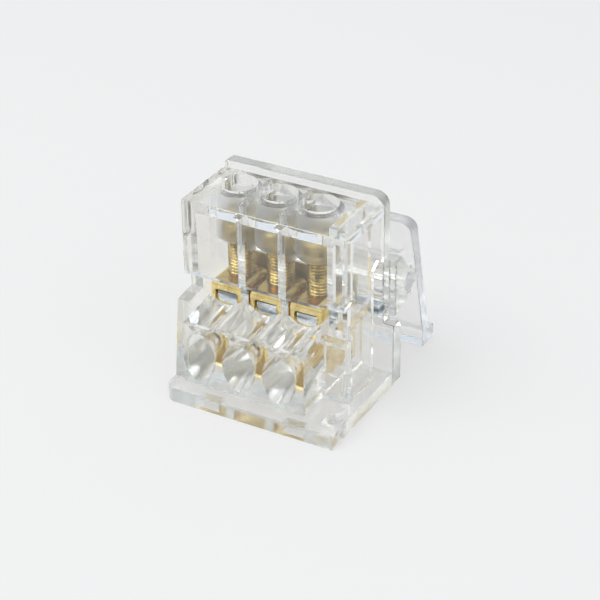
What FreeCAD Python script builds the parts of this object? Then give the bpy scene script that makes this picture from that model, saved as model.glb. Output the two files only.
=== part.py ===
import FreeCAD, Part
import math
import os

# Clear three-way bonding terminal, in millimetres, +Z up, wires enter along +Y.
# Working frame: X = 0 at the middle pole, Y = 0 at the front edge, Z = 0 under the base.

# Poles
pole_names = ("left", "middle", "right")
pole_pitch = 10.0
chamber_width = 8.1
chamber_depth = 12.6
rib_front_gap = 3.2

# Walls of the housing
end_wall = 2.95
front_wall = 2.0
top_wall = 3.0
divider = 2.0
bay_width = 4.6
side_wall = 1.85
corner_post_width = 3.4
corner_post_depth = 4.6
corner_post_radius = 0.85
front_face_setback = 6.5

# Heights of the housing
base_thickness = 3.5
block_height = 14.8
block_rear_rise = 1.5
front_wall_bottom = 26.8
corner_post_bottom = 27.5
body_height = 44.8

# Base plate
lip_depth = 3.9
base_overhang = 2.5
base_corner_radius = 2.5
window_width = 5.2
window_height = 1.9
window_depth = 2.4
window_floor = 0.8
window_from_pole = 4.5
window_right_shift = 0.9
floor_pocket_width = 2.9
floor_pocket_depth = 3.4
floor_pocket_sink = 2.2
floor_pocket_margin = 0.5
upstand_width = 1.2
upstand_depth = 4.0
upstand_height = 3.4

# Wire funnels: ovals of four arcs that narrow evenly and climb towards the clamps
mouth_width = 8.3
mouth_height = 11.9
mouth_end_radius = 3.0
funnel_depth = 7.0
funnel_inset = 1.45
funnel_climb = 7.0
funnel_overcut = 1.0
funnel_center_height = 7.3

# Waves in the top of the funnel block, one trough for each pole
scoop_lip = 1.0
wave_depth = 1.8
wave_trough_share = 0.65
block_end_radius = 1.9

# Left end wall, whose front edge leans back below the front face
left_wall_setback = 1.0
left_wall_lean = 2.4
left_wall_rise = 3.5
left_notch_bottom = 22.4
left_notch_depth = 2.6

# Side bay and slot
ledge_height = 1.5
ledge_depth = 2.4
panel_thickness = 2.0
panel_step_height = 6.2
panel_step = 0.8
side_wall_setback = 2.6
slot_width = 4.6
slot_height = 27.5
slot_peak = 1.4

# Screws and guide tubes
screw_from_rear = 5.3
guide_radius = 4.2
guide_wall = 1.0
guide_floor = 1.2
guide_bottom = 32.0
guide_round = 2.2
guide_round_steps = 3
screw_radius = 2.5
head_radius = 3.9
head_height = 3.6
drive_slot_width = 1.2
drive_slot_depth = 1.6
tip_chamfer = 0.5
running_clearance = 0.06
thread_clearance = 0.05
seat_clearance = 0.05

# Bonding bar
bar_thickness = 2.7
bar_height = 17.9
spine_depth = 3.1
spine_inset = 1.3
spine_clearance = 0.15
spine_end_clearance = 0.2
spine_overhang = -0.4
tongue_side_clearance = 0.2
tongue_setback = 0.3
bar_corner_radius = 0.6

# Clamp cages
cage_thickness = 1.0
cage_top_thickness = 2.6
cage_side_clearance = 0.15
cage_depth = 10.6
cage_from_spine = 0.3
cage_floor_gap = 1.6
cage_bar_gap = 0.4
cage_corner_radius = 1.7
cage_inner_radius = 0.6

# Rear cover
cover_thickness = 3.0
cover_rise = 1.8
cover_seam = 0.05
cover_left_radius = 1.2
cover_right_radius = 3.0
cover_foot_thickness = 4.2
cover_foot_height = 15.5
cover_foot_slope = 2.2

# Hinge channel of the rear cover
hinge_from_cover = 7.0
hinge_height = 21.5
hinge_radius = 2.4
hinge_clearance = 0.08
channel_wall = 1.4
channel_mouth_angle = 70.0
shelf_width = 3.0
shelf_top = 30.0
shelf_bottom = 16.0

# Latch
latch_end_margin = 1.0
latch_web_thickness = 3.0
latch_leg_thickness = 3.0
latch_tab_thickness = 3.6
latch_tab_top = 36.0
latch_reach = 4.8
latch_foot_reach = 5.6
latch_tab_lean = 3.8
latch_foot_depth = 5.6
latch_foot_height = 3.5
latch_foot_gap = 0.3
latch_tab_radius = 2.6
latch_recess_depth = 0.9
latch_recess_margin = 2.2
latch_recess_height = 7.0

# Places that follow from the sizes above
pole_count = len(pole_names)
pole_x = [(index - (pole_count - 1) / 2) * pole_pitch for index in range(pole_count)]
chamber_left = pole_x[0] - chamber_width / 2
chamber_right = pole_x[-1] + chamber_width / 2
body_left = chamber_left - end_wall
bay_left = chamber_right + divider
bay_right = bay_left + bay_width
body_right = bay_right + side_wall
base_right = body_right + base_overhang
block_front = lip_depth
body_front = block_front + front_face_setback
rib_front = body_front + front_wall + rib_front_gap
body_rear = rib_front + chamber_depth
block_top = base_thickness + block_height
block_rear_top = block_top + block_rear_rise
ceiling = body_height - top_wall
screw_y = body_rear - screw_from_rear
guide_seat = guide_bottom + guide_floor
funnel_z = base_thickness + funnel_center_height
bar_top = bar_height + bar_thickness
spine_front = body_rear - spine_inset
spine_rear = spine_front + spine_depth
spine_left = chamber_left + spine_end_clearance
spine_right = body_right + spine_overhang
cage_rear = spine_front - cage_from_spine
cage_front = cage_rear - cage_depth
cage_bottom = base_thickness + cage_floor_gap
cage_top = bar_top + cage_bar_gap + cage_top_thickness
cage_half = chamber_width / 2 - cage_side_clearance
panel_y = body_front + side_wall_setback
cover_front = body_rear + cover_seam
cover_rear = body_rear + cover_thickness
cover_foot_rear = body_rear + cover_foot_thickness
cover_top = body_height + cover_rise
hinge_y = cover_rear + hinge_from_cover
channel_radius = hinge_radius + hinge_clearance
channel_outer = channel_radius + channel_wall
lever_y = hinge_y + latch_reach
foot_front = lever_y + latch_foot_reach - latch_leg_thickness
foot_rear = foot_front + latch_foot_depth
latch_left = body_left + latch_end_margin
latch_right = base_right - latch_end_margin

# The part's origin lies under the middle of its outline
origin = FreeCAD.Vector((body_left + base_right) / 2, foot_rear / 2, 0)


# Edges count as parallel to an axis above this cosine
parallel_cosine = 0.999


def box(x0, x1, y0, y1, z0, z1):
    return Part.makeBox(x1 - x0, y1 - y0, z1 - z0, FreeCAD.Vector(x0, y0, z0))


def rod(radius, start, axis, length):
    return Part.makeCylinder(radius, length, FreeCAD.Vector(*start), FreeCAD.Vector(*axis))


def prism_x(points, x0, x1):
    corners = [FreeCAD.Vector(x0, y, z) for y, z in points]
    face = Part.Face(Part.makePolygon(corners + corners[:1]))
    return face.extrude(FreeCAD.Vector(x1 - x0, 0, 0))


def fuse(shapes):
    return shapes[0].multiFuse(shapes[1:]).removeSplitter()


def edges_where(shape, test):
    return [edge for edge in shape.Edges if test(edge)]


def runs_along(edge, axis):
    if len(edge.Vertexes) < 2:
        return False
    direction = edge.Vertexes[1].Point - edge.Vertexes[0].Point
    return direction.Length > 0 and abs(direction.normalize().dot(FreeCAD.Vector(*axis))) > parallel_cosine


def oval(x, y, inset):
    half_width, half_height = mouth_width / 2, mouth_height / 2
    end_center = half_height - mouth_end_radius
    side_radius = ((half_width ** 2 + end_center ** 2 - mouth_end_radius ** 2)
                   / (2 * (half_width - mouth_end_radius)))
    side_center = side_radius - half_width
    reach = math.hypot(side_center, end_center)
    end_radius = mouth_end_radius - inset
    corner_x = side_center / reach * end_radius
    corner_z = end_center + end_center / reach * end_radius

    def at(dx, dz):
        return FreeCAD.Vector(x + dx, y, funnel_z + dz)

    corners = [at(-corner_x, corner_z), at(corner_x, corner_z),
               at(corner_x, -corner_z), at(-corner_x, -corner_z)]
    middles = [at(0, half_height - inset), at(half_width - inset, 0),
               at(0, inset - half_height), at(inset - half_width, 0)]
    arcs = [Part.Arc(corners[i], middles[i], corners[(i + 1) % len(corners)]) for i in range(len(corners))]
    return Part.Wire([arc.toShape() for arc in arcs])


def funnel(x):
    neck_y = block_front + funnel_depth
    mouth = oval(x, block_front - funnel_overcut, -funnel_inset * funnel_overcut / funnel_depth)
    neck = oval(x, neck_y, funnel_inset)
    cone = Part.makeLoft([mouth, neck], True, True)
    throat = Part.Face(neck).extrude(FreeCAD.Vector(0, rib_front + funnel_overcut - neck_y, 0))
    cutter = cone.fuse(throat)
    cutter.rotate(FreeCAD.Vector(x, block_front, funnel_z), FreeCAD.Vector(1, 0, 0), funnel_climb)
    return cutter


def wave_outline(y):
    half = pole_pitch / 2
    slope = 2 * math.atan2(wave_depth, half)
    trough = block_top - wave_depth
    trough_half = half * wave_trough_share
    join = trough + wave_depth * wave_trough_share
    crest_half = half - trough_half
    crest_radius = crest_half / math.sin(slope)
    crest_reach = crest_radius * math.sin(slope / 2)
    crest_mid = block_top - crest_radius * (1 - math.cos(slope / 2))
    curves = []
    for x in pole_x:
        start = FreeCAD.Vector(x - half, y, block_top)
        falls = FreeCAD.Vector(x - half + crest_reach, y, crest_mid)
        left = FreeCAD.Vector(x - trough_half, y, join)
        low = FreeCAD.Vector(x, y, trough)
        right = FreeCAD.Vector(x + trough_half, y, join)
        rises = FreeCAD.Vector(x + half - crest_reach, y, crest_mid)
        end = FreeCAD.Vector(x + half, y, block_top)
        curves += [Part.Arc(start, falls, left), Part.Arc(left, low, right), Part.Arc(right, rises, end)]
    first, last = curves[0].StartPoint, curves[-1].EndPoint
    over = FreeCAD.Vector(0, 0, wave_depth)
    curves += [Part.LineSegment(last, last + over), Part.LineSegment(last + over, first + over),
               Part.LineSegment(first + over, first)]
    return Part.Wire([curve.toShape() for curve in curves])


def waves():
    start_y = block_front + scoop_lip
    length, rise = rib_front - start_y, block_rear_top - block_top
    cutter = Part.Face(wave_outline(start_y - wave_depth)).extrude(
        FreeCAD.Vector(0, length + 2 * wave_depth, 0))
    cutter.rotate(FreeCAD.Vector(0, start_y, block_top), FreeCAD.Vector(1, 0, 0),
                  math.degrees(math.atan2(rise, length)))
    return cutter.common(box(chamber_left, chamber_right, start_y, rib_front, base_thickness, body_height))


def base_plate():
    plate = box(body_left, base_right, 0, body_rear, 0, base_thickness)
    corner = edges_where(plate, lambda e: runs_along(e, (0, 0, 1)) and e.CenterOfMass.y < lip_depth)
    plate = plate.makeFillet(base_corner_radius, corner[:1])
    windows = [box(x - window_width / 2, x + window_width / 2, 0, window_depth,
                   window_floor, window_floor + window_height)
               for x in (pole_x[0] + window_from_pole, pole_x[-1] + window_from_pole + window_right_shift)]
    pocket_right = base_right - upstand_width - floor_pocket_margin
    pocket = box(pocket_right - floor_pocket_width, pocket_right, lip_depth, lip_depth + floor_pocket_depth,
                 base_thickness - floor_pocket_sink, base_thickness)
    return plate.cut(windows + [pocket])


def funnel_block():
    profile = [(block_front, base_thickness), (block_front, block_top), (block_front + scoop_lip, block_top),
               (rib_front, block_rear_top), (rib_front, base_thickness)]
    block = prism_x(profile, chamber_left, bay_left)
    end = edges_where(block, lambda e: e.BoundBox.XMin > chamber_right and e.BoundBox.ZMin > base_thickness
                      and not runs_along(e, (0, 0, 1)))
    return block.makeFillet(block_end_radius, end)


def left_end():
    foot_y = block_front + left_wall_setback
    profile = [(foot_y, base_thickness), (foot_y + left_wall_lean, block_top + left_wall_rise),
               (body_front, left_notch_bottom), (body_front + left_notch_depth, left_notch_bottom),
               (body_front + left_notch_depth, front_wall_bottom), (body_front, front_wall_bottom),
               (body_front, body_height), (body_rear, body_height), (body_rear, base_thickness)]
    return prism_x(profile, body_left, chamber_left)


def right_end():
    wall = box(bay_right, body_right, panel_y, body_rear, base_thickness, body_height)
    post = box(body_right - corner_post_width, body_right, body_front, body_front + corner_post_depth,
               corner_post_bottom, body_height)
    foot = edges_where(post, lambda e: runs_along(e, (0, 1, 0)) and e.CenterOfMass.z < ceiling)
    post = post.makeFillet(corner_post_radius, foot)
    panel = box(bay_left, bay_right, panel_y, panel_y + panel_thickness, base_thickness, block_rear_top)
    step = box(bay_left, bay_right, panel_y - panel_step, panel_y, base_thickness,
               base_thickness + panel_step_height)
    ledge = box(bay_left, body_right, panel_y - ledge_depth, panel_y + panel_thickness,
                block_rear_top - ledge_height, block_rear_top)
    upstand = box(base_right - upstand_width, base_right, lip_depth, lip_depth + upstand_depth,
                  base_thickness, base_thickness + upstand_height)
    return [wall, post, panel, step, ledge, upstand]


def partitions():
    ribs = [box(x + chamber_width / 2, x + pole_pitch - chamber_width / 2, rib_front, body_rear,
                base_thickness, body_height) for x in pole_x[:-1]]
    block_end = box(chamber_right, bay_left, body_front, body_rear, base_thickness, block_rear_top)
    bay_wall = box(bay_left, bay_left + divider, rib_front, body_rear, block_rear_top - divider, body_height)
    return ribs + [block_end, bay_wall]


def guide_bulb(x):
    outer = guide_radius + guide_wall
    points = [(0, guide_bottom), (outer - guide_round, guide_bottom)]
    for step in range(1, guide_round_steps + 1):
        turn = math.pi / 2 * step / guide_round_steps
        points.append((outer - guide_round * (1 - math.sin(turn)),
                       guide_bottom + guide_round * (1 - math.cos(turn))))
    points += [(outer, ceiling), (0, ceiling)]
    corners = [FreeCAD.Vector(x + reach, screw_y, z) for reach, z in points]
    face = Part.Face(Part.makePolygon(corners + corners[:1]))
    return face.revolve(FreeCAD.Vector(x, screw_y, 0), FreeCAD.Vector(0, 0, 1), 360)


def guide_tubes():
    right_walls = [x + chamber_width / 2 for x in pole_x[:-1]] + [bay_left]
    tubes = []
    for x, right in zip(pole_x, right_walls):
        room = box(x - chamber_width / 2, right, body_front, body_rear, guide_bottom, ceiling)
        tubes.append(guide_bulb(x).common(room))
    return tubes


def housing():
    front = box(chamber_left, bay_left, body_front, body_front + front_wall, front_wall_bottom, body_height)
    front_right = box(bay_left, body_right, body_front, body_front + front_wall,
                      corner_post_bottom, body_height)
    top = box(chamber_left, body_right, body_front, body_rear, ceiling, body_height)
    solids = [base_plate(), funnel_block(), left_end(), front, front_right, top]
    body = fuse(solids + right_end() + partitions() + guide_tubes())
    cuts = [waves()]
    for x in pole_x:
        cuts.append(funnel(x))
        cuts.append(rod(guide_radius, (x, screw_y, guide_seat), (0, 0, 1), body_height - guide_seat))
        shank_hole = screw_radius + running_clearance
        cuts.append(rod(shank_hole, (x, screw_y, guide_bottom), (0, 0, 1), guide_floor))
    cuts.append(box(chamber_left, bay_left + divider, spine_front - spine_clearance, body_rear,
                    bar_height, bar_top + spine_clearance))
    slot_front = body_rear - slot_width
    slot_end = base_thickness + slot_height
    cuts.append(prism_x([(slot_front, base_thickness), (body_rear, base_thickness), (body_rear, slot_end),
                         ((slot_front + body_rear) / 2, slot_end + slot_peak), (slot_front, slot_end)],
                        bay_right, body_right))
    return body.cut(cuts).removeSplitter()


def rear_cover():
    plate = box(body_left, body_right, cover_front, cover_rear, base_thickness, cover_top)
    corners = edges_where(plate, lambda e: runs_along(e, (0, 1, 0)) and e.CenterOfMass.z > body_height)
    corners.sort(key=lambda e: e.CenterOfMass.x)
    plate = plate.makeFillet(cover_left_radius, corners[:1])
    corners = edges_where(plate, lambda e: runs_along(e, (0, 1, 0)) and e.CenterOfMass.z > body_height
                          and e.CenterOfMass.x > chamber_right)
    plate = plate.makeFillet(cover_right_radius, corners)
    foot = prism_x([(cover_front, 0), (cover_front, cover_foot_height), (cover_rear, cover_foot_height),
                    (cover_foot_rear, cover_foot_height - cover_foot_slope), (cover_foot_rear, 0)],
                   body_left, base_right)
    shelf = prism_x([(cover_rear, shelf_bottom), (cover_rear, shelf_top),
                     (cover_rear + shelf_width, shelf_top), (hinge_y, hinge_height + channel_outer),
                     (hinge_y, hinge_height - channel_outer)], latch_left, latch_right)
    ring = rod(channel_outer, (latch_left, hinge_y, hinge_height), (1, 0, 0), latch_right - latch_left)
    bore = rod(channel_radius, (latch_left, hinge_y, hinge_height), (1, 0, 0), latch_right - latch_left)
    mouth_rise = channel_outer * math.tan(math.radians(channel_mouth_angle))
    mouth = prism_x([(hinge_y, hinge_height), (hinge_y + channel_outer, hinge_height - mouth_rise),
                     (hinge_y + channel_outer, hinge_height + mouth_rise)], latch_left, latch_right)
    groove = box(spine_left - spine_end_clearance, latch_right, body_rear, spine_rear + spine_clearance,
                 bar_height, bar_top + spine_clearance)
    return fuse([plate, foot, shelf, ring]).cut([bore, mouth, groove]).removeSplitter()


def thumb_recess(low_y, high_y):
    slope = (high_y - low_y) / (latch_tab_top - hinge_height)
    top = latch_tab_top - latch_recess_margin
    bottom = top - latch_recess_height
    front = [low_y + slope * (z - hinge_height) for z in (bottom, top)]
    recess = prism_x([(front[0], bottom), (front[1], top), (front[1] + latch_recess_depth, top),
                      (front[0] + latch_recess_depth, bottom)],
                     latch_left + latch_recess_margin, latch_right - latch_recess_margin)
    return recess.makeFillet(latch_tab_radius, edges_where(recess, lambda e: runs_along(e, (0, 1, 0))))


def rail_latch():
    length = latch_right - latch_left
    hinge = rod(hinge_radius, (latch_left, hinge_y, hinge_height), (1, 0, 0), length)
    half_web = latch_web_thickness / 2
    web = box(latch_left, latch_right, hinge_y, lever_y, hinge_height - half_web, hinge_height + half_web)
    foot_top = latch_foot_gap + latch_foot_height
    leg_inner = lever_y - latch_leg_thickness / 2
    leg = prism_x([(leg_inner, hinge_height), (foot_front, foot_top), (foot_front, latch_foot_gap),
                   (foot_front + latch_leg_thickness, latch_foot_gap),
                   (foot_front + latch_leg_thickness, foot_top),
                   (leg_inner + latch_leg_thickness, hinge_height)], latch_left, latch_right)
    tab_top_y = leg_inner - latch_tab_lean
    tab = prism_x([(leg_inner, hinge_height), (leg_inner + latch_leg_thickness, hinge_height),
                   (tab_top_y + latch_tab_thickness, latch_tab_top), (tab_top_y, latch_tab_top)],
                  latch_left, latch_right)
    corners = edges_where(tab, lambda e: runs_along(e, (0, 1, 0)) and e.CenterOfMass.z > shelf_top)
    tab = tab.makeFillet(latch_tab_radius, corners)
    foot = box(latch_left, latch_right, foot_front, foot_rear, latch_foot_gap, foot_top)
    return fuse([hinge, web, leg, tab.cut(thumb_recess(leg_inner, tab_top_y)), foot])


def bonding_bar():
    half = cage_half - cage_thickness - tongue_side_clearance
    spine = box(spine_left, spine_right, spine_front, spine_rear, bar_height, bar_top)
    tongue_front = cage_front + tongue_setback
    tongues = [box(x - half, x + half, tongue_front, spine_front, bar_height, bar_top) for x in pole_x]
    comb = fuse([spine] + tongues)
    tips = edges_where(comb, lambda e: runs_along(e, (0, 0, 1)) and e.CenterOfMass.y < screw_y)
    return comb.makeFillet(bar_corner_radius, tips)


def clamp_cage(x):
    outer = box(x - cage_half, x + cage_half, cage_front, cage_rear, cage_bottom, cage_top)
    outer = outer.makeFillet(cage_corner_radius, edges_where(outer, lambda e: runs_along(e, (0, 1, 0))))
    inner_half = cage_half - cage_thickness
    inner = box(x - inner_half, x + inner_half, cage_front, cage_rear,
                cage_bottom + cage_thickness, cage_top - cage_top_thickness)
    inner = inner.makeFillet(cage_inner_radius, edges_where(inner, lambda e: runs_along(e, (0, 1, 0))))
    thread_depth = cage_top_thickness + cage_inner_radius
    hole = rod(screw_radius + thread_clearance, (x, screw_y, cage_top - thread_depth), (0, 0, 1),
               thread_depth)
    return outer.cut([inner, hole])


def clamp_screw(x):
    tip = bar_top + seat_clearance
    head = guide_seat + seat_clearance
    profile = [(0, tip), (screw_radius - tip_chamfer, tip), (screw_radius, tip + tip_chamfer),
               (screw_radius, head), (head_radius, head), (head_radius, head + head_height),
               (0, head + head_height)]
    corners = [FreeCAD.Vector(x + r, screw_y, z) for r, z in profile]
    face = Part.Face(Part.makePolygon(corners + corners[:1]))
    turned = face.revolve(FreeCAD.Vector(x, screw_y, 0), FreeCAD.Vector(0, 0, 1), 360)
    half = drive_slot_width / 2
    slot = box(x - head_radius, x + head_radius, screw_y - half, screw_y + half,
               head + head_height - drive_slot_depth, head + head_height)
    return turned.cut(slot)


def export(name, shape):
    shape.translate(-origin)
    shape.exportStep("parts/" + name + ".step")


os.makedirs("parts", exist_ok=True)
export("housing", housing())
export("rear_cover", rear_cover())
export("rail_latch", rail_latch())
export("bonding_bar", bonding_bar())
for pole_name, x in zip(pole_names, pole_x):
    export("clamp_cage_" + pole_name, clamp_cage(x))
    export("clamp_screw_" + pole_name, clamp_screw(x))
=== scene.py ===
import bpy
import bmesh
import math
from mathutils import Matrix, Vector


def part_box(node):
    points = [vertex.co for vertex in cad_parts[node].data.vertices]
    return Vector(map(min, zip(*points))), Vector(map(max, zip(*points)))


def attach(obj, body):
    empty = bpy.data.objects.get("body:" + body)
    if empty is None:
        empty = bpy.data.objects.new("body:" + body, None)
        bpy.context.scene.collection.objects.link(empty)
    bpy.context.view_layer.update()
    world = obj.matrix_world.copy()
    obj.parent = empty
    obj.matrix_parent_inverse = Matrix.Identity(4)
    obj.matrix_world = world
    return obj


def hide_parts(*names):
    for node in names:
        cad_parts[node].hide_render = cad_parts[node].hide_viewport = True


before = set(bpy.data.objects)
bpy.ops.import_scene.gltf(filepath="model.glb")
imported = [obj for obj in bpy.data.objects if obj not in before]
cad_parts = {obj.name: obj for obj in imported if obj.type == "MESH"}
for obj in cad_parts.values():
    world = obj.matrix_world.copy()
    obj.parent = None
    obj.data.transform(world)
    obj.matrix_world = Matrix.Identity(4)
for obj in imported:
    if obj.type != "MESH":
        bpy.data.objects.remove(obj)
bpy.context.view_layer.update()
scene = bpy.context.scene
mm = 0.001


def hexColour(code):
    # sRGB hex to the linear numbers that the shader sockets take
    def linear(value):
        return value / 12.92 if value <= 0.04045 else ((value + 0.055) / 1.055) ** 2.4
    channels = [int(code[i:i + 2], 16) / 255 for i in (1, 3, 5)]
    return tuple(linear(c) for c in channels) + (1.0,)


def addNode(tree, kind, settings=None, links=None):
    # settings: node property or socket to its value; links: socket to the output that feeds it
    node = tree.nodes.new(kind)
    for name, value in (settings or {}).items():
        if isinstance(name, str) and hasattr(node, name):
            setattr(node, name, value)
        else:
            node.inputs[name].default_value = value
    for name, output in (links or {}).items():
        tree.links.new(output, node.inputs[name])
    return node


def newMaterial(name):
    material = bpy.data.materials.new(name)
    material.use_nodes = True
    material.node_tree.nodes.clear()
    return material, material.node_tree


# camera: the photo looks down at the right front corner with a long lens, rolled by under a degree
view = {
    "azimuth": 29.66,          # degrees round from the front, towards the right end
    "elevation": 30.69,
    "roll": -0.87,
    "distance": 400 * mm,
    "target": (3.5 * mm, -7.6 * mm, 22.7 * mm),
    "focalPixels": 1848,       # for an image 600 pixels wide
    "imagePixels": 600,
    "sensor": 36.0,
    "clipStart": 10 * mm,
}


def placeCamera():
    azimuth, elevation, roll = (math.radians(view[k]) for k in ("azimuth", "elevation", "roll"))
    back = Vector((math.sin(azimuth) * math.cos(elevation),
                   -math.cos(azimuth) * math.cos(elevation),
                   math.sin(elevation)))
    right = Vector((math.cos(azimuth), math.sin(azimuth), 0))
    up = back.cross(right)
    right, up = (right * math.cos(roll) + up * math.sin(roll),
                 up * math.cos(roll) - right * math.sin(roll))
    camera = bpy.data.objects.new("camera", bpy.data.cameras.new("camera"))
    scene.collection.objects.link(camera)
    turn = Matrix((right, up, back)).transposed().to_4x4()
    camera.matrix_world = Matrix.Translation(Vector(view["target"]) + back * view["distance"]) @ turn
    camera.data.sensor_width = view["sensor"]
    camera.data.lens = view["sensor"] * view["focalPixels"] / view["imagePixels"]
    camera.data.clip_start = view["clipStart"]
    scene.camera = camera


placeCamera()
print("camera placed")

# clear polycarbonate, injection moulded in a polished tool: glass-clear, faintly yellow where it is thick,
# with slight flow waves that bend what is seen through it. Core pins and inserts with a duller finish shape
# the funnels, the screw guides, the waves of the block's top and the base, so these are satin and blur what
# lies behind them
clearPlastic = {
    "name": "clear moulded polycarbonate",
    "tint": "#FDFDFC",
    "absorb": "#DFDCB8",
    "absorbPerMetre": 6.0,
    "ior": 1.585,
    "roughness": 0.02,
    "transmission": 1.0,
    "flowSize": 7 * mm,
    "flowHeight": 0.012 * mm,
}
# boxes in mm from the housing's low corner; scatter is the white share that doesn't pass through
satinZones = {
    "funnels": {
        "low": (2.5, 4.0, 4.6), "high": (31.5, 15.5, 16.9), "roughness": 0.16, "scatter": 0.03},
    "waves": {
        "low": (2.9, 5.0, 17.0), "high": (31.1, 15.5, 20.0), "roughness": 0.1, "scatter": 0.01},
    "screw guides": {
        "low": (2.9, 17.6, 31.9), "high": (31.0, 28.1, 41.7), "roughness": 0.28, "scatter": 0.01},
    "top": {
        "low": (-1.0, 9.0, 41.75), "high": (43.0, 29.0, 46.0), "roughness": 0.06, "scatter": 0.02},
    "base": {
        "low": (-1.0, -1.0, -1.0), "high": (43.0, 29.0, 3.6), "roughness": 0.16, "scatter": 0.02},
}
# the same plastic for the cover, from a tool with a dull finish: an even, slight haze
satinPlastic = {
    **clearPlastic,
    "name": "satin moulded polycarbonate",
    "roughness": 0.12,
    "transmission": 0.98,
}


def insideZone(tree, place, zone):
    # 1 where the place lies in the zone's box, 0 outside it
    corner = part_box("housing")[0]
    low, high = (corner + Vector(zone[k]) * mm for k in ("low", "high"))
    offset = addNode(tree, "ShaderNodeVectorMath", {"operation": "SUBTRACT", 1: (low + high) / 2},
                     {0: place})
    reach = addNode(tree, "ShaderNodeVectorMath", {"operation": "ABSOLUTE"},
                    {0: offset.outputs["Vector"]})
    share = addNode(tree, "ShaderNodeVectorMath", {"operation": "DIVIDE", 1: (high - low) / 2},
                    {0: reach.outputs["Vector"]})
    axes = addNode(tree, "ShaderNodeSeparateXYZ", None, {"Vector": share.outputs["Vector"]})
    across = addNode(tree, "ShaderNodeMath", {"operation": "MAXIMUM"},
                     {0: axes.outputs["X"], 1: axes.outputs["Y"]})
    widest = addNode(tree, "ShaderNodeMath", {"operation": "MAXIMUM"},
                     {0: across.outputs["Value"], 1: axes.outputs["Z"]})
    inside = addNode(tree, "ShaderNodeMath", {"operation": "LESS_THAN", 1: 1.0},
                     {0: widest.outputs["Value"]})
    return inside.outputs["Value"]


def mouldedPolycarbonate(spec, zones):
    material, tree = newMaterial(spec["name"])
    place = addNode(tree, "ShaderNodeTexCoord")
    flow = addNode(tree, "ShaderNodeTexNoise", {"Scale": 1 / spec["flowSize"], "Detail": 1.0},
                   {"Vector": place.outputs["Object"]})
    wave = addNode(tree, "ShaderNodeBump", {"Distance": spec["flowHeight"], "Strength": 1.0},
                   {"Height": flow.outputs["Fac"]})
    surface = addNode(tree, "ShaderNodeBsdfPrincipled",
                      {"Base Color": hexColour(spec["tint"]), "IOR": spec["ior"],
                       "Roughness": spec["roughness"], "Transmission Weight": spec["transmission"]},
                      {"Normal": wave.outputs["Normal"]})
    # each zone adds its own step, inside its box, to the sum so far: the first starts from the plain plastic
    roughSum, clearSum = {}, {}
    for zone in zones.values():
        inside = insideZone(tree, place.outputs["Object"], zone)
        rough = addNode(tree, "ShaderNodeMath",
                        {"operation": "MULTIPLY_ADD", 1: zone["roughness"] - spec["roughness"],
                         2: spec["roughness"]}, {0: inside, **roughSum})
        clear = addNode(tree, "ShaderNodeMath",
                        {"operation": "MULTIPLY_ADD", 1: -zone["scatter"],
                         2: spec["transmission"]}, {0: inside, **clearSum})
        roughSum, clearSum = {2: rough.outputs["Value"]}, {2: clear.outputs["Value"]}
    if zones:
        tree.links.new(roughSum[2], surface.inputs["Roughness"])
        tree.links.new(clearSum[2], surface.inputs["Transmission Weight"])
    body = addNode(tree, "ShaderNodeVolumeAbsorption",
                   {"Color": hexColour(spec["absorb"]), "Density": spec["absorbPerMetre"]})
    addNode(tree, "ShaderNodeOutputMaterial", None,
            {"Surface": surface.outputs["BSDF"], "Volume": body.outputs["Volume"]})
    return material


# natural polycarbonate of the latch, moulded with a fine spark-eroded finish: slightly milky, with soft
# reflections
milkyPlastic = {
    "tint": "#FBFBFA",
    "ior": 1.585,
    "roughness": 0.14,
    "transmission": 0.97,
    "grainSize": 0.35 * mm,    # real grain is finer, drawn coarse enough to show
    "grainHeight": 0.008 * mm,
}


def milkyPolycarbonate():
    spec = milkyPlastic
    material, tree = newMaterial("milky moulded polycarbonate")
    place = addNode(tree, "ShaderNodeTexCoord")
    grain = addNode(tree, "ShaderNodeTexNoise", {"Scale": 1 / spec["grainSize"], "Detail": 3.0},
                    {"Vector": place.outputs["Object"]})
    frost = addNode(tree, "ShaderNodeBump", {"Distance": spec["grainHeight"], "Strength": 1.0},
                    {"Height": grain.outputs["Fac"]})
    surface = addNode(tree, "ShaderNodeBsdfPrincipled",
                      {"Base Color": hexColour(spec["tint"]), "Roughness": spec["roughness"],
                       "IOR": spec["ior"], "Transmission Weight": spec["transmission"]},
                      {"Normal": frost.outputs["Normal"]})
    addNode(tree, "ShaderNodeOutputMaterial", None, {"Surface": surface.outputs["BSDF"]})
    return material


# brass strip, stamped, folded and dipped bright: pale gold with rolling lines, a little deeper in patches,
# with painted shade, where upward faces such as the tops of the clamps are drawn darker, and a dark line at
# the seam of the lap
brassStrip = {
    "name": "stamped bright brass",
    "gold": "#FFEEB4",
    "stain": "#ECCD7E",
    # painted shade of the upward faces, also the colour of the dark seam line of the lap
    "topShadeAndSeam": "#D6BA74",
    "roughLow": 0.16,
    "roughHigh": 0.36,
    "stainSize": 3.2 * mm,
    "stainBelow": 0.3,         # of the noise, full stain up to here
    "goldAbove": 0.62,
    "topFrom": 0.6,            # upward share of the normal where the painted shade of the upward faces begins
    "topFull": 0.95,
    "rollLine": 0.25 * mm,     # real lines are finer, drawn coarse enough to show
    "rollStretch": 0.08,
    "lineHeight": 0.004 * mm,
    "lapDepth": 1.35 * mm,     # below the clamp's top, where the two layers of the lapped strip meet
    "lapSeam": 0.16 * mm,
}
# the same strip left as rolled and annealed: dull, with wide, soft reflections of what stands before it
dullStrip = {
    **brassStrip,
    "name": "annealed dull brass",
    "gold": "#FFF3C4",
    "stain": "#F4E3AC",
    "roughLow": 0.45,
    "roughHigh": 0.6,
}


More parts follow.
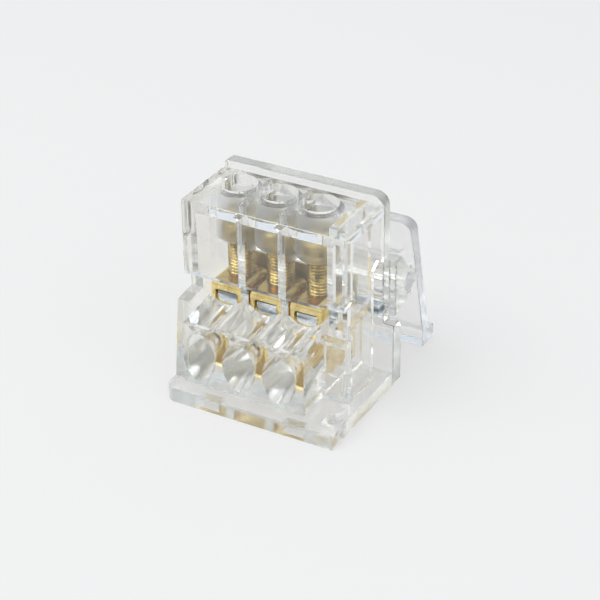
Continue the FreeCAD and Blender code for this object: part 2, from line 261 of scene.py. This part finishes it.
def stampedBrass(spec):
    material, tree = newMaterial(spec["name"])
    place = addNode(tree, "ShaderNodeTexCoord")
    patch = addNode(tree, "ShaderNodeTexNoise", {"Scale": 1 / spec["stainSize"], "Detail": 4.0},
                    {"Vector": place.outputs["Object"]})
    stretch = addNode(tree, "ShaderNodeMapping", {"Scale": (1.0, spec["rollStretch"], 1.0)},
                      {"Vector": place.outputs["Object"]})
    lines = addNode(tree, "ShaderNodeTexNoise", {"Scale": 1 / spec["rollLine"], "Detail": 2.0},
                    {"Vector": stretch.outputs["Vector"]})
    colour = addNode(tree, "ShaderNodeValToRGB", None, {"Fac": patch.outputs["Fac"]})
    colour.color_ramp.elements[0].position = spec["stainBelow"]
    colour.color_ramp.elements[0].color = hexColour(spec["stain"])
    colour.color_ramp.elements[1].position = spec["goldAbove"]
    colour.color_ramp.elements[1].color = hexColour(spec["gold"])
    facing = addNode(tree, "ShaderNodeSeparateXYZ", None, {"Vector": place.outputs["Normal"]})
    # painted shade: faces that point up are mixed towards the darker colour
    upward = addNode(tree, "ShaderNodeMapRange",
                     {"From Min": spec["topFrom"], "From Max": spec["topFull"]},
                     {"Value": facing.outputs["Z"]})
    shadedTops = addNode(tree, "ShaderNodeMixRGB", {"Color2": hexColour(spec["topShadeAndSeam"])},
                     {"Fac": upward.outputs["Result"], "Color1": colour.outputs["Color"]})
    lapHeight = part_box("clamp_cage_left")[1].z - spec["lapDepth"]
    spot = addNode(tree, "ShaderNodeSeparateXYZ", None, {"Vector": place.outputs["Object"]})
    seam = addNode(tree, "ShaderNodeMath",
                   {"operation": "COMPARE", 1: lapHeight, 2: spec["lapSeam"] / 2},
                   {0: spot.outputs["Z"]})
    lapped = addNode(tree, "ShaderNodeMixRGB", {"Color2": hexColour(spec["topShadeAndSeam"])},
                     {"Fac": seam.outputs["Value"], "Color1": shadedTops.outputs["Color"]})
    rough = addNode(tree, "ShaderNodeMapRange",
                    {"To Min": spec["roughHigh"], "To Max": spec["roughLow"]},
                    {"Value": patch.outputs["Fac"]})
    ridges = addNode(tree, "ShaderNodeBump", {"Distance": spec["lineHeight"], "Strength": 1.0},
                     {"Height": lines.outputs["Fac"]})
    surface = addNode(tree, "ShaderNodeBsdfPrincipled", {"Metallic": 1.0},
                      {"Base Color": lapped.outputs["Color"], "Roughness": rough.outputs["Result"],
                       "Normal": ridges.outputs["Normal"]})
    addNode(tree, "ShaderNodeOutputMaterial", None, {"Surface": surface.outputs["BSDF"]})
    return material


# brass rod, turned and thread-rolled: old gold with dull brown patches and fine turning lines
brassRod = {
    "gold": "#D2BB78",
    "dull": "#7A6B3E",
    "roughness": 0.2,
    "turnLine": 0.12 * mm,
    "turnStretch": 0.05,
    "lineHeight": 0.003 * mm,
    "stainSize": 2.0 * mm,
    "dullBelow": 0.28,         # of the noise, full stain up to here
    "goldAbove": 0.6,
}


def turnedBrass():
    spec = brassRod
    material, tree = newMaterial("turned brass rod")
    place = addNode(tree, "ShaderNodeTexCoord")
    patch = addNode(tree, "ShaderNodeTexNoise", {"Scale": 1 / spec["stainSize"], "Detail": 3.0},
                    {"Vector": place.outputs["Object"]})
    squeeze = addNode(tree, "ShaderNodeMapping",
                      {"Scale": (spec["turnStretch"], spec["turnStretch"], 1.0)},
                      {"Vector": place.outputs["Object"]})
    lines = addNode(tree, "ShaderNodeTexNoise", {"Scale": 1 / spec["turnLine"], "Detail": 1.0},
                    {"Vector": squeeze.outputs["Vector"]})
    colour = addNode(tree, "ShaderNodeValToRGB", None, {"Fac": patch.outputs["Fac"]})
    colour.color_ramp.elements[0].position = spec["dullBelow"]
    colour.color_ramp.elements[0].color = hexColour(spec["dull"])
    colour.color_ramp.elements[1].position = spec["goldAbove"]
    colour.color_ramp.elements[1].color = hexColour(spec["gold"])
    grooves = addNode(tree, "ShaderNodeBump", {"Distance": spec["lineHeight"], "Strength": 1.0},
                      {"Height": lines.outputs["Fac"]})
    surface = addNode(tree, "ShaderNodeBsdfPrincipled", {"Metallic": 1.0, "Roughness": spec["roughness"]},
                      {"Base Color": colour.outputs["Color"], "Normal": grooves.outputs["Normal"]})
    addNode(tree, "ShaderNodeOutputMaterial", None, {"Surface": surface.outputs["BSDF"]})
    return material


# copper bar, sheared and hot-dip tinned: cool white metal with ripples along it where the tin ran, and
# painted reflections: its colour is banded lighter and darker along the same ripples
tinnedBar = {
    "tin": "#EDF2F5",
    # painted reflection: the dark blue-grey of the bands
    "shade": "#7E8C9A",
    "roughness": 0.12,
    "bandHeight": 1.1 * mm,
    "bandStretch": 0.12,
    "shadeBelow": 0.36,        # of the noise, full shade up to here
    "tinAbove": 0.6,
    "rippleHeight": 0.06 * mm,
}


def tinnedCopper():
    spec = tinnedBar
    material, tree = newMaterial("hot tinned copper")
    place = addNode(tree, "ShaderNodeTexCoord")
    stretch = addNode(tree, "ShaderNodeMapping",
                      {"Scale": (spec["bandStretch"], spec["bandStretch"], 1.0)},
                      {"Vector": place.outputs["Object"]})
    band = addNode(tree, "ShaderNodeTexNoise", {"Scale": 1 / spec["bandHeight"], "Detail": 2.0},
                   {"Vector": stretch.outputs["Vector"]})
    # painted reflections: the colour bands follow the same noise as the ripples
    colour = addNode(tree, "ShaderNodeValToRGB", None, {"Fac": band.outputs["Fac"]})
    colour.color_ramp.elements[0].position = spec["shadeBelow"]
    colour.color_ramp.elements[0].color = hexColour(spec["shade"])
    colour.color_ramp.elements[1].position = spec["tinAbove"]
    colour.color_ramp.elements[1].color = hexColour(spec["tin"])
    run = addNode(tree, "ShaderNodeBump", {"Distance": spec["rippleHeight"], "Strength": 1.0},
                  {"Height": band.outputs["Fac"]})
    surface = addNode(tree, "ShaderNodeBsdfPrincipled", {"Metallic": 1.0, "Roughness": spec["roughness"]},
                      {"Base Color": colour.outputs["Color"], "Normal": run.outputs["Normal"]})
    addNode(tree, "ShaderNodeOutputMaterial", None, {"Surface": surface.outputs["BSDF"]})
    return material


clearMaterial = mouldedPolycarbonate(clearPlastic, satinZones)
satinMaterial = mouldedPolycarbonate(satinPlastic, {})
milkyMaterial = milkyPolycarbonate()
stripMaterial = stampedBrass(brassStrip)
dullMaterial = stampedBrass(dullStrip)
rodMaterial = turnedBrass()
tinMaterial = tinnedCopper()
print("materials made")

# moulded, folded and sheared pieces: the solid stays, with the small edge rounds of the real one
pieceFinish = {
    "housing": {"round": 0.22 * mm, "finish": clearMaterial},
    "rear_cover": {"round": 0.3 * mm, "finish": satinMaterial},
    "rail_latch": {"round": 0.3 * mm, "finish": milkyMaterial},
    "bonding_bar": {"round": 0.2 * mm, "finish": tinMaterial},
    "clamp_cage_left": {"round": 0.2 * mm, "finish": stripMaterial},
    "clamp_cage_middle": {"round": 0.2 * mm, "finish": stripMaterial},
    "clamp_cage_right": {"round": 0.2 * mm, "finish": stripMaterial},
}
edgeRound = {
    "joinWithin": 0.001 * mm,
    "flatAngle": math.radians(0.2),
    "sharpAngle": math.radians(32),
    "segments": 2,
}


def finishPiece(nodeName, spec):
    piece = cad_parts[nodeName]
    for slot in piece.material_slots:
        slot.material = spec["finish"]
    join = piece.modifiers.new("joined facets", "WELD")
    join.merge_threshold = edgeRound["joinWithin"]
    flat = piece.modifiers.new("whole flat faces", "DECIMATE")
    flat.decimate_type = "DISSOLVE"
    flat.angle_limit = edgeRound["flatAngle"]
    bevel = piece.modifiers.new("edge rounds", "BEVEL")
    bevel.width = spec["round"]
    bevel.segments = edgeRound["segments"]
    bevel.limit_method = "ANGLE"
    bevel.angle_limit = edgeRound["sharpAngle"]
    shade = piece.modifiers.new("even shading", "WEIGHTED_NORMAL")
    shade.keep_sharp = True


for nodeName, spec in pieceFinish.items():
    finishPiece(nodeName, spec)
    print("finished", nodeName)

# clamp screws: thread of 0.8 mm pitch, cheese head with a sawn slot
screwForm = {
    "pitch": 0.8 * mm,
    "threadDepth": 0.42 * mm,
    "shankRadius": 2.5 * mm,
    "headHeight": 3.6 * mm,
    "headRound": 0.35 * mm,
    "slotWidth": 1.2 * mm,
    "slotDepth": 1.6 * mm,
    "sawReach": 1.5,           # head radii to each side
    "runOut": 0.7 * mm,
    "crestShare": 0.15,        # of half a pitch, the flat crest
    "flankShare": 0.7,
    "around": 48,
    "rowsPerPitch": 10,
    "cornerSteps": 4,
    "sharpAngle": math.radians(40),
}


def threadRadius(z, angle, low, high):
    spec = screwForm
    phase = (z / spec["pitch"] + angle / (2 * math.pi)) % 1.0
    fromCrest = abs(phase - 0.5) * 2
    flank = min(1.0, max(0.0, (fromCrest - spec["crestShare"]) / spec["flankShare"]))
    fade = min(1.0, max(0.0, (high - z) / spec["runOut"]))      # the thread runs out below the head
    tip = min(1.0, max(0.0, (z - low) / spec["runOut"]))
    radius = spec["shankRadius"] - spec["threadDepth"] * flank * fade
    return radius - spec["threadDepth"] * (1 - tip)             # the tip is chamfered


def clampScrew(side):
    spec = screwForm
    nodeName = "clamp_screw_" + side
    low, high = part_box(nodeName)
    centre = (low + high) / 2
    headRadius = (high.x - low.x) / 2
    headLow = high.z - spec["headHeight"]
    angles = [2 * math.pi * a / spec["around"] for a in range(spec["around"])]
    # rows of radius and height from the tip up: the thread, then the lower and the upper round of the head
    rows = []
    count = int((headLow - low.z) / (spec["pitch"] / spec["rowsPerPitch"]))
    for i in range(count + 1):
        z = low.z + (headLow - low.z) * i / count
        rows.append([(threadRadius(z, angle, low.z, headLow), z) for angle in angles])
    turns = [math.pi / 2 * i / spec["cornerSteps"] for i in range(spec["cornerSteps"] + 1)]
    for turn in turns:
        radius = headRadius - spec["headRound"] * (1 - math.sin(turn))
        rows.append([(radius, headLow + spec["headRound"] * (1 - math.cos(turn)))] * spec["around"])
    for turn in turns:
        radius = headRadius - spec["headRound"] * (1 - math.cos(turn))
        rows.append([(radius, high.z - spec["headRound"] * (1 - math.sin(turn)))] * spec["around"])
    work = bmesh.new()
    rings = []
    for row in rows:
        rings.append([work.verts.new((centre.x + radius * math.cos(angle),
                                      centre.y + radius * math.sin(angle), z))
                      for angle, (radius, z) in zip(angles, row)])
    for lower, upper in zip(rings, rings[1:]):
        for a in range(spec["around"]):
            b = (a + 1) % spec["around"]
            work.faces.new((lower[a], lower[b], upper[b], upper[a]))
    work.faces.new(list(reversed(rings[0])))
    work.faces.new(rings[-1])
    mesh = bpy.data.meshes.new(nodeName + "_threaded")
    work.to_mesh(mesh)
    work.free()
    screw = bpy.data.objects.new(nodeName + "_threaded", mesh)
    scene.collection.objects.link(screw)
    # saw the slot with a boolean cutter that is removed again
    bpy.ops.mesh.primitive_cube_add(size=1.0, location=(centre.x, centre.y, high.z))
    cutter = bpy.context.object
    cutter.scale = (headRadius * 2 * spec["sawReach"], spec["slotWidth"], spec["slotDepth"] * 2)
    saw = screw.modifiers.new("slot", "BOOLEAN")
    saw.operation = "DIFFERENCE"
    saw.object = cutter
    bpy.context.view_layer.update()
    sawn = screw.evaluated_get(bpy.context.evaluated_depsgraph_get())
    finished = bpy.data.meshes.new_from_object(sawn)
    screw.modifiers.clear()
    screw.data = finished
    bpy.data.objects.remove(cutter)
    for polygon in finished.polygons:
        polygon.use_smooth = True
    finished.set_sharp_from_angle(angle=spec["sharpAngle"])
    finished.materials.clear()
    finished.materials.append(rodMaterial)
    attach(screw, "screw_" + side)
    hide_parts(nodeName)


for side in ("left", "middle", "right"):
    clampScrew(side)
print("clamp screws threaded")

# thin brass strips behind the screws, one in each chamber, standing on the bar in front of the cover
backStrip = {
    "thickness": 0.55 * mm,
    "fromCover": 0.35 * mm,
    "height": 5.8 * mm,
    "edgeRound": 0.12 * mm,
}


def standStrip(side):
    spec = backStrip
    low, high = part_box("clamp_cage_" + side)
    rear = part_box("rear_cover")[0].y - spec["fromCover"]
    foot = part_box("bonding_bar")[1].z
    size = Vector((high.x - low.x, spec["thickness"], spec["height"]))
    centre = Vector(((low.x + high.x) / 2, rear - size.y / 2, foot + size.z / 2))
    work = bmesh.new()
    bmesh.ops.create_cube(work, size=1.0,
                          matrix=Matrix.Translation(centre) @ Matrix.Diagonal(size).to_4x4())
    mesh = bpy.data.meshes.new("back_strip_" + side)
    work.to_mesh(mesh)
    work.free()
    mesh.materials.append(dullMaterial)
    strip = bpy.data.objects.new("back_strip_" + side, mesh)
    scene.collection.objects.link(strip)
    bevel = strip.modifiers.new("edge rounds", "BEVEL")
    bevel.width = spec["edgeRound"]
    bevel.segments = edgeRound["segments"]
    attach(strip, "block")


for side in ("left", "middle", "right"):
    standStrip(side)
print("back strips stood")

# studio: pale floor that runs out of view, soft lamps above, a pale world
studio = {
    "floorSize": 3.0,
    "floorDrop": 0.02 * mm,    # keeps the floor just clear of the base
    "floorColour": "#DDDBD8",
    "floorGlow": 0.75,         # share of the floor's white that doesn't depend on the lamps
    "glowColour": "#EBEAE9",
    "worldHorizon": "#F2F2F2",
    "worldZenith": "#CFE0F4",
    "horizonUntil": 0.15,      # upward share of the direction
    "zenithFrom": 0.8,
    "worldStrength": 1.0,
    "aimHeight": 20 * mm,
    "key": {"place": (-0.3, -0.4, 0.8), "size": 0.7, "watts": 7.0},
    "fill": {"place": (0.75, -0.25, 0.45), "size": 0.9, "watts": 3.0},
    "bounces": 40,             # light mirrors inside the clear block many times before it leaves
}


def paleFloor():
    material, tree = newMaterial("pale paper sweep")
    path = addNode(tree, "ShaderNodeLightPath")
    matt = addNode(tree, "ShaderNodeBsdfDiffuse", {"Color": hexColour(studio["floorColour"])})
    glow = addNode(tree, "ShaderNodeEmission",
                   {"Color": hexColour(studio["glowColour"]), "Strength": 1.0})
    seen = addNode(tree, "ShaderNodeMath", {"operation": "MAXIMUM"},
                   {0: path.outputs["Is Camera Ray"], 1: path.outputs["Is Glossy Ray"]})
    seenThrough = addNode(tree, "ShaderNodeMath", {"operation": "MAXIMUM"},
                          {0: seen.outputs["Value"], 1: path.outputs["Is Transmission Ray"]})
    share = addNode(tree, "ShaderNodeMath", {"operation": "MULTIPLY", 1: studio["floorGlow"]},
                    {0: seenThrough.outputs["Value"]})
    blend = addNode(tree, "ShaderNodeMixShader", None,
                    {"Fac": share.outputs["Value"], 1: matt.outputs["BSDF"], 2: glow.outputs["Emission"]})
    addNode(tree, "ShaderNodeOutputMaterial", None, {"Surface": blend.outputs["Shader"]})
    return material


def buildStudio():
    half = studio["floorSize"] / 2
    mesh = bpy.data.meshes.new("floor")
    corners = [(-half, -half, 0), (half, -half, 0), (half, half, 0), (-half, half, 0)]
    mesh.from_pydata(corners, [], [(0, 1, 2, 3)])
    mesh.materials.append(paleFloor())
    floor = bpy.data.objects.new("floor", mesh)
    floor.location.z = -studio["floorDrop"]
    scene.collection.objects.link(floor)
    for name in ("key", "fill"):
        lamp = bpy.data.lights.new(name, "AREA")
        lamp.size = studio[name]["size"]
        lamp.energy = studio[name]["watts"]
        holder = bpy.data.objects.new(name, lamp)
        holder.location = studio[name]["place"]
        aim = Vector((0, 0, studio["aimHeight"])) - Vector(studio[name]["place"])
        holder.rotation_euler = aim.to_track_quat("-Z", "Y").to_euler()
        scene.collection.objects.link(holder)
    world = bpy.data.worlds.new("studio")
    scene.world = world
    world.use_nodes = True
    tree = world.node_tree
    tree.nodes.clear()
    place = addNode(tree, "ShaderNodeTexCoord")
    parts = addNode(tree, "ShaderNodeSeparateXYZ", None, {"Vector": place.outputs["Generated"]})
    height = addNode(tree, "ShaderNodeMapRange",
                     {"From Min": studio["horizonUntil"], "From Max": studio["zenithFrom"]},
                     {"Value": parts.outputs["Z"]})
    shade = addNode(tree, "ShaderNodeValToRGB", None, {"Fac": height.outputs["Result"]})
    shade.color_ramp.elements[0].color = hexColour(studio["worldHorizon"])
    shade.color_ramp.elements[1].color = hexColour(studio["worldZenith"])
    glow = addNode(tree, "ShaderNodeBackground", {"Strength": studio["worldStrength"]},
                   {"Color": shade.outputs["Color"]})
    addNode(tree, "ShaderNodeOutputWorld", None, {"Surface": glow.outputs["Background"]})


buildStudio()
scene.view_settings.view_transform = "Standard"
scene.cycles.max_bounces = studio["bounces"]
scene.cycles.glossy_bounces = studio["bounces"]
scene.cycles.transmission_bounces = studio["bounces"]
print("studio lit")
